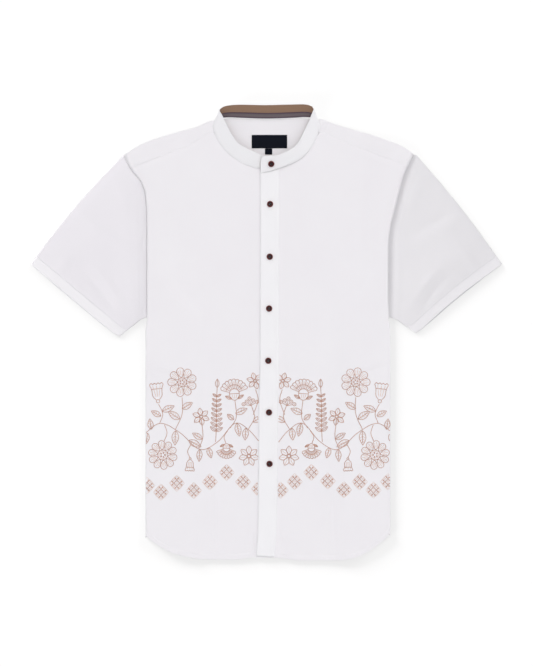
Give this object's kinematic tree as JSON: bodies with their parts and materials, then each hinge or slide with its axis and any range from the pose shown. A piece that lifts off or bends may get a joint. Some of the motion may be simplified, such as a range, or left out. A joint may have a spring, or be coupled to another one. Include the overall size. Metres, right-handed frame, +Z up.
{
  "type": "koko shirt",
  "caption": "Short-sleeved koko shirt with a band collar, front placket and shirt-tail hem, laid flat with its front up and its sides folded under.",
  "frame": {"origin": "centre of the overall box, on the surface that the shirt lies on", "axes": "+Z up from the surface, +Y from the hem to the collar, +X to the wearer's left, across the sleeves"},
  "size_m": [0.7778, 0.752, 0.0161],
  "materials": {
    "shirting": "matte white cotton poplin",
    "facing_cloth": "matte tan cotton",
    "neck_tape": "matte woven tape, purple grey with darker edges",
    "label_weave": "smooth navy woven label",
    "button_resin": "polished dark maroon polyester",
    "embroidery_thread": "soft sheen, tan pink polyester thread"
  },
  "bodies": {
    "root": {"back_panel": "shirting", "yoke": "shirting", "front_left": "shirting", "front_right": "shirting", "front_placket": "shirting", "sleeve_left": "shirting", "sleeve_right": "shirting", "collar_stand": "shirting", "collar_facing": "facing_cloth", "collar_tape": "neck_tape", "button_1": "button_resin", "button_2": "button_resin", "button_3": "button_resin", "button_4": "button_resin", "button_5": "button_resin", "button_6": "button_resin", "button_7": "button_resin", "neck_label": "label_weave", "size_tab": "label_weave"}
  },
  "joints": []
}
